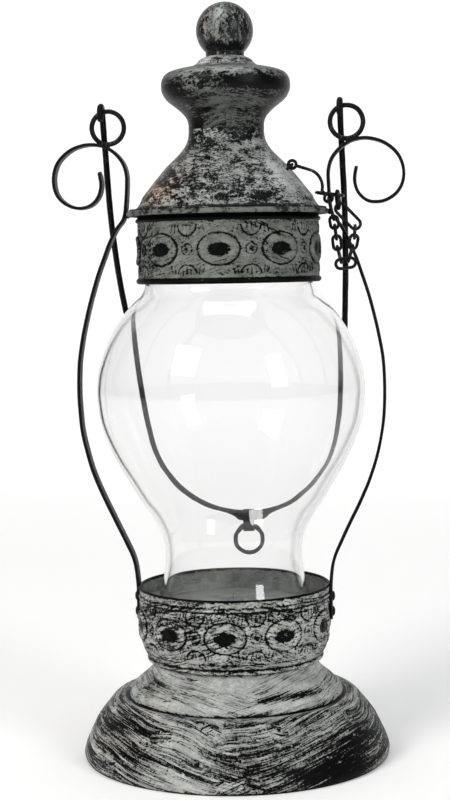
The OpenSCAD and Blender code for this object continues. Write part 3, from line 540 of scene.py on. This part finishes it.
# ---------------------------------------------------------------- side strips
strip_path = [[44.1, 62.0], [44.1, 70.0], [44.2, 78.6], [45.6, 88.9], [49.5, 98.2], [53.8, 107.4], [58.2, 116.6], [62.2, 125.8], [65.3, 134.9],
    [67.5, 144.2], [68.9, 153.5], [69.5, 166.0], [69.0, 179.5], [67.3, 190.4], [65.3, 199.5], [62.9, 208.6], [59.7, 219.0], [57.0, 226.4],
    [53.8, 234.0], [50.6, 240.2], [47.6, 244.2], [46.5, 247.4], [45.9, 252.0], [45.4, 258.5], [45.4, 264.2], [46.8, 269.2], [49.5, 273.2],
    [53.0, 276.1], [57.3, 278.0], [63.5, 278.4], [70.5, 276.2], [76.2, 271.3], [78.7, 265.0], [78.3, 258.5], [75.2, 253.5], [69.5, 250.4],
    [63.2, 250.7], [58.8, 254.4], [57.1, 260.0], [58.0, 266.3]]
def strip(sign, seed):
    P2 = dense(cr(strip_path, 8), 0.8)
    N = normals2(P2)
    # section: rounded rectangle, across (normal) and wide (y)
    sec = []
    w, t, rr = 3.5, 0.7, 0.42
    for cx, cy, a0 in ((t - rr, w - rr, 0), (-(t - rr), w - rr, 90), (-(t - rr), -(w - rr), 180), (t - rr, -(w - rr), 270)):
        for a in (0, 30, 60, 90):
            sec.append((cx + rr * math.cos(math.radians(a0 + a)), cy + rr * math.sin(math.radians(a0 + a))))
    # extra points down the broad faces
    def refine(pts):
        out = []
        for i in range(len(pts)):
            p, q = np.array(pts[i]), np.array(pts[(i + 1) % len(pts)])
            out.append(p)
            L = np.linalg.norm(q - p)
            if L > 1.2:
                for k in range(1, int(L / 0.9)):
                    out.append(p + (q - p) * k / int(L / 0.9))
        return np.array(out)
    sec = refine(sec)
    m, n = len(P2), len(sec)
    d = np.concatenate([[0], np.cumsum(np.linalg.norm(np.diff(P2, axis=0), axis=1))])
    e = np.minimum(d, d[-1] - d)
    taper = np.where(d > d[-1] / 2, np.sqrt(np.clip(1 - (1 - np.clip(e / 2.2, 0, 1)) ** 2, 0.05, 1)), np.sqrt(np.clip(1 - (1 - np.clip(e / 1.2, 0, 1)) ** 2, 0.3, 1)))
    wav = 0.10 * vnoise(np.stack([d / 9, d * 0, d * 0], 1), seed)
    V = np.zeros((m, n, 3))
    off = sec[:, 0][None, :] + wav[:, None] * (d[:, None] > 30) * (d[:, None] < d[-1] - 20)
    V[..., 0] = (P2[:, 0][:, None] + N[:, 0][:, None] * off) * sign
    V[..., 2] = P2[:, 1][:, None] + N[:, 1][:, None] * off
    V[..., 1] = sec[:, 1][None, :] * taper[:, None]
    inkv = np.repeat((0.5 - np.clip((np.abs(sec[:, 1]) - 2.0) / 1.0, 0, 1))[None, :], m, 0).ravel()
    V = V.reshape(-1, 3)
    F = [(i * n + k, i * n + (k + 1) % n, (i + 1) * n + (k + 1) % n, (i + 1) * n + k) for i in range(m - 1) for k in range(n)]
    F += [tuple(range(n - 1, -1, -1)), tuple((m - 1) * n + k for k in range(n))]
    return V, F, inkv
for sign, nm, seed in ((1, "side_strip_right", 41), (-1, "side_strip_left", 42)):
    V, F, ik = strip(sign, seed)
    if sign > 0: F = [f[::-1] for f in F]
    make(nm + "_bar", V, F, m_strip, "frame", [nm], {"ink": ik})

# ---------------------------------------------------------------- hoop, rings
def circle3(c, R, axis, n=96):
    a = np.arange(n) * 2 * math.pi / n
    if axis == "z": return np.stack([c[0] + R * np.cos(a), c[1] + R * np.sin(a), np.full(n, c[2])], 1)
    if axis == "y": return np.stack([c[0] + R * np.cos(a), np.full(n, c[1]), c[2] + R * np.sin(a)], 1)
    if axis == "x": return np.stack([np.full(n, c[0]), c[1] + R * np.cos(a), c[2] + R * np.sin(a)], 1)

V, F = wire(circle3((0, 0, 246.7), 44.55, "z", 240), 1.15, 16, True, 0.03, 51)
make("carrier_hoop_wire", V, F, m_hoop, "frame", ["carrier_hoop"], {"ink": np.zeros(len(V)) + 0.15})
for s, nm in ((-1, "hanger_ring_left"), (1, "hanger_ring_right")):
    P = circle3((s * 53.8, 0, 285.9), 7.35, "y", 96)
    V, F = wire(P, 1.1, 16, True, 0.05, 52 + s)
    make(nm + "_wire", V, F, m_ring, "frame", [nm])

# ---------------------------------------------------------------- chain
CY = -8.6
CR = 0.72
def link(P, Q, w=3.6, across=False, y=CY):
    P, Q = np.array(P, float), np.array(Q, float)
    u = (Q - P) / np.linalg.norm(Q - P); L = np.linalg.norm(Q - P)
    h = w / 2
    loc = []
    for a in np.linspace(90, 270, 15): loc.append((h + h * math.cos(math.radians(a)), h * math.sin(math.radians(a))))
    for t in np.linspace(h, L - h, 8)[1:-1]: loc.append((t, -h))
    for a in np.linspace(-90, 90, 15): loc.append((L - h + h * math.cos(math.radians(a)), h * math.sin(math.radians(a))))
    for t in np.linspace(L - h, h, 8)[1:-1]: loc.append((t, h))
    loc = np.array(loc)
    v = np.array([-u[1], u[0]])
    out = np.zeros((len(loc), 3))
    if across:
        out[:, 0] = P[0] + u[0] * loc[:, 0]; out[:, 2] = P[1] + u[1] * loc[:, 0]; out[:, 1] = y + loc[:, 1]
    else:
        out[:, 0] = P[0] + u[0] * loc[:, 0] + v[0] * loc[:, 1]; out[:, 2] = P[1] + u[1] * loc[:, 0] + v[1] * loc[:, 1]; out[:, 1] = y
    return out
def links(*ls):
    return join([wire(link(*l), CR, 12, True, 0.05, 60 + i) for i, l in enumerate(ls)])
hanger = link([0, 0], [4.283, -7.342], 4.8, False, 0)
c7, s7 = math.cos(math.radians(-74.7)), math.sin(math.radians(-74.7))
hanger = np.stack([49.25 + hanger[:, 0] * c7, -4.85 + hanger[:, 0] * s7, 254.84 + hanger[:, 2]], 1)
for nm, VF in (
    ("chain_hanger_link", wire(hanger, CR, 12, True, 0.05, 59)),
    ("chain_long_link", links(([49.44, 248.86], [58.98, 238.73], 4.6, False))),
    ("chain_right_links", links(([57.34, 239.65], [56.95, 234.02], 3.6, True), ([57.17, 235.56], [55.84, 229.44], 3.6, False), ([56.21, 230.95], [54.14, 223.82], 3.6, True))),
    ("chain_bottom_link", links(([48.6, 222.6], [57.3, 223.6], 4.2, False))),
    ("chain_left_links", links(([51.09, 223.45], [49.31, 230.65], 3.6, True), ([49.58, 229.13], [48.92, 235.37], 3.6, False), ([49.10, 233.83], [48.30, 240.07], 3.6, True), ([48.52, 238.53], [47.68, 243.97], 3.6, False))),
    ("chain_top_link", links(([47.98, 242.45], [45.76, 251.81], 3.6, True)))):
    make(nm + "_wire", VF[0], VF[1], m_ring, "lid", [nm])
# hook with an eye at each end
def inplane(pts):
    pts = np.asarray(pts, float)
    return np.stack([pts[:, 0], np.full(len(pts), CY), pts[:, 1]], 1)
a = np.radians(np.linspace(71.93, -12, 40))
shank = np.vstack([dense([[31.564, 266.557], [37.6, 264.587]], 0.4)[:-1], np.stack([35.118 + 8.0 * np.cos(a), 256.982 + 8.0 * np.sin(a)], 1), dense([[42.943, 255.319], [44.582, 253.346]], 0.4)[1:]])
V, F = join([wire(circle3((45.7, CY, 252.0), 1.75, "y", 40), CR, 12, True), wire(circle3((29.9, CY, 267.1), 1.75, "y", 48), CR, 12, True), wire(inplane(shank), CR, 12, False, 0.05, 66)])
make("chain_hook_wire", V, F, m_ring, "lid", ["chain_hook"])
t = np.arange(48) * 2 * math.pi / 48
c45 = math.sqrt(0.5)
eye = np.stack([29.9 - 2.3 * c45 + 2.3 * np.cos(t) * c45, CY + 2.3 * np.sin(t), 267.1 - 2.3 * c45 + 2.3 * np.cos(t) * c45], 1)
V, F = wire(eye, CR, 12, True)
make("chain_eye_wire", V, F, m_ring, "lid", ["chain_eye"])
t = np.arange(72) * 2 * math.pi / 72
c8, s8 = math.cos(math.radians(8)), math.sin(math.radians(8))
an = np.stack([45.9 + 6.0 * np.cos(t) * c8, -0.8 + 6.0 * np.sin(t), 254.0 - 6.0 * np.cos(t) * s8], 1)
V, F = wire(an, CR, 12, True, 0.04, 61)
make("chain_anchor_wire", V, F, m_ring, "lid", ["chain_anchor_ring"])

# ---------------------------------------------------------------- bail
LEAN = math.radians(16.4); HZ = 292.65; HR = 2.9
def lean(P):
    P = np.asarray(P, float); c, s = math.cos(LEAN), math.sin(LEAN)
    return np.stack([P[:, 0], P[:, 1] * c - P[:, 2] * s, HZ + P[:, 1] * s + P[:, 2] * c], 1)
bail_half = [[-56.7, 9], [-56.6, 15.9], [-56.3, 47], [-55.0, 70.1], [-53.3, 87.7], [-51.2, 102.7], [-49.9, 117.8], [-48.6, 133.1], [-47.0, 148.6],
    [-44.6, 164.3], [-40.4, 175.8], [-32.2, 186.4], [-17.0, 196.3], [1.8, 200.4], [19.4, 196.9], [31.5, 189.0], [42.0, 178.0], [46.6, 166.0],
    [48.8, 149.5], [49.6, 134.2], [50.0, 119.1], [50.6, 104.2], [51.2, 89.5], [51.7, 72.1], [51.9, 49.3], [51.2, 18.7], [50.9, 9]]
hl, hr = -56.7, 50.9
A = [[hl, -HR, z] for z in (-3.6, -2.6, -1.6, -0.8)]
A += [[hl, HR * math.cos(math.radians(a)), HR * math.sin(math.radians(a))] for a in range(180, -1, -12)]
A += [[p[0], HR, -p[1]] for p in cr(bail_half, 8)]
A += [[hr, HR * math.cos(math.radians(a)), HR * math.sin(math.radians(a))] for a in range(0, 181, 12)]
A += [[hr, -HR, z] for z in (-0.8, -1.6, -2.6, -3.6)]
P = dense(np.array(A), 0.45)
V, F = wire(P, 1.4, 16, False, 0.04, 71)
make("bail_wire", lean(V), F, m_bail, "bail", ["bail_handle"])
PY = HR * math.cos(LEAN) + 204.6 * math.sin(LEAN)
PZ = HZ + HR * math.sin(LEAN) - 204.6 * math.cos(LEAN)
V, F = wire(circle3((1.8, PY, PZ - 7.1), 7.1, "y", 96), 1.1, 16, True, 0.05, 72)
make("pull_ring_wire", V, F, m_ring, "pull_ring", ["bail_ring"])

# ---------------------------------------------------------------- carried-over CAD nodes
def finish_cad(name, mat, bevel=0.0003):
    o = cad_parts[name]
    o.data.materials.clear(); o.data.materials.append(mat)
    if bevel:
        b = o.modifiers.new("edge", "BEVEL"); b.width = bevel; b.segments = 2; b.limit_method = "ANGLE"
        b.angle_limit = math.radians(40)
for nm, mat, bv in (("candle_plate", m_plate, 0.0), ("centre_screw", m_screw, 0.0), ("centre_nut", m_screw, 0.0002), ("finial_screw", m_screw, 0.0),
                    ("finial_nut", m_screw, 0.0002), ("strip_rivets", m_weld, 0.0), ("hoop_welds", m_weld, 0.0), ("ring_welds", m_weld, 0.0), ("bail_clip", m_bail, 0.0003)):
    finish_cad(nm, mat, bv)

# ---------------------------------------------------------------- stage, light, camera
def stage_floor():
    n = 40
    me = bpy.data.meshes.new("floor")
    # floor that sweeps up into a backdrop far behind
    prof = [(-3.0, 0.0), (1.6, 0.0), (1.9, 0.02), (2.15, 0.09), (2.4, 0.25), (2.56, 0.5), (2.6, 0.8), (2.6, 4.0)]
    V = [(x, y, z) for y, z in prof for x in (-5.0, 5.0)]
    F = [(2 * i, 2 * i + 1, 2 * i + 3, 2 * i + 2) for i in range(len(prof) - 1)]
    me.from_pydata(V, [], F); me.shade_smooth()
    o = bpy.data.objects.new("floor", me); bpy.context.scene.collection.objects.link(o)
    g = G("floor_pale")
    g.put(g.b.inputs["Base Color"], g.mix(g.noise(g.obj(), 3.0, 3), (0.90, 0.90, 0.90, 1), (0.93, 0.93, 0.93, 1)))
    g.b.inputs["Roughness"].default_value = 0.9
    g.b.inputs["Specular IOR Level"].default_value = 0.0
    g.b.inputs["Emission Color"].default_value = (1, 1, 1, 1)
    g.b.inputs["Emission Strength"].default_value = 0.16
    o.data.materials.append(g.m)
stage_floor()

def area(name, loc, target, size, power, col=(1, 1, 1)):
    l = bpy.data.lights.new(name, "AREA"); l.shape = "RECTANGLE"; l.size, l.size_y = size; l.energy = power; l.color = col
    o = bpy.data.objects.new(name, l); bpy.context.scene.collection.objects.link(o)
    o.location = loc
    d = Vector(target) - Vector(loc)
    o.rotation_euler = d.to_track_quat("-Z", "Y").to_euler()
    return o
area("key", (-1.0, -1.3, 1.2), (0, 0, 0.17), (0.7, 0.7), 23.0, (1.0, 0.98, 0.96))
area("fill", (1.2, -1.1, 0.8), (0, 0, 0.17), (0.4, 0.9), 10.5, (0.96, 0.98, 1.0))
area("top", (0, 0.0, 1.7), (0, 0, 0.2), (0.9, 0.9), 6.0)
area("back", (0.0, 1.3, 1.5), (0, 2.5, 0.4), (3.0, 1.2), 17.0)
w = bpy.data.worlds.new("studio"); bpy.context.scene.world = w; w.use_nodes = True
w.node_tree.nodes["Background"].inputs[0].default_value = (1, 1, 1, 1)
w.node_tree.nodes["Background"].inputs[1].default_value = 0.20
bpy.context.scene.view_settings.view_transform = "Standard"

cam = bpy.data.cameras.new("camera"); co = bpy.data.objects.new("camera", cam)
bpy.context.scene.collection.objects.link(co)
cam.sensor_width = 36.0; cam.lens = 78.2; cam.clip_start = 0.01; cam.clip_end = 50
D, ZC, PITCH, ROLL, YAW = 0.786, 0.223, math.radians(4.419), math.radians(1.04), math.radians(0.204)
az = math.radians(AZ)
def rotz(v, a): return Vector((math.cos(a) * v[0] - math.sin(a) * v[1], math.sin(a) * v[0] + math.cos(a) * v[1], v[2]))
right, fwd, up = Vector((1, 0, 0)), Vector((0, math.cos(PITCH), -math.sin(PITCH))), Vector((0, math.sin(PITCH), math.cos(PITCH)))
right, fwd, up = [rotz(v, az + YAW) for v in (right, fwd, up)]
r2 = right * math.cos(ROLL) - up * math.sin(ROLL)
u2 = up * math.cos(ROLL) + right * math.sin(ROLL)
M = Matrix((r2, u2, -fwd)).transposed().to_4x4()
M.translation = rotz(Vector((0, -D, ZC)), az)
co.matrix_world = M
bpy.context.scene.camera = co
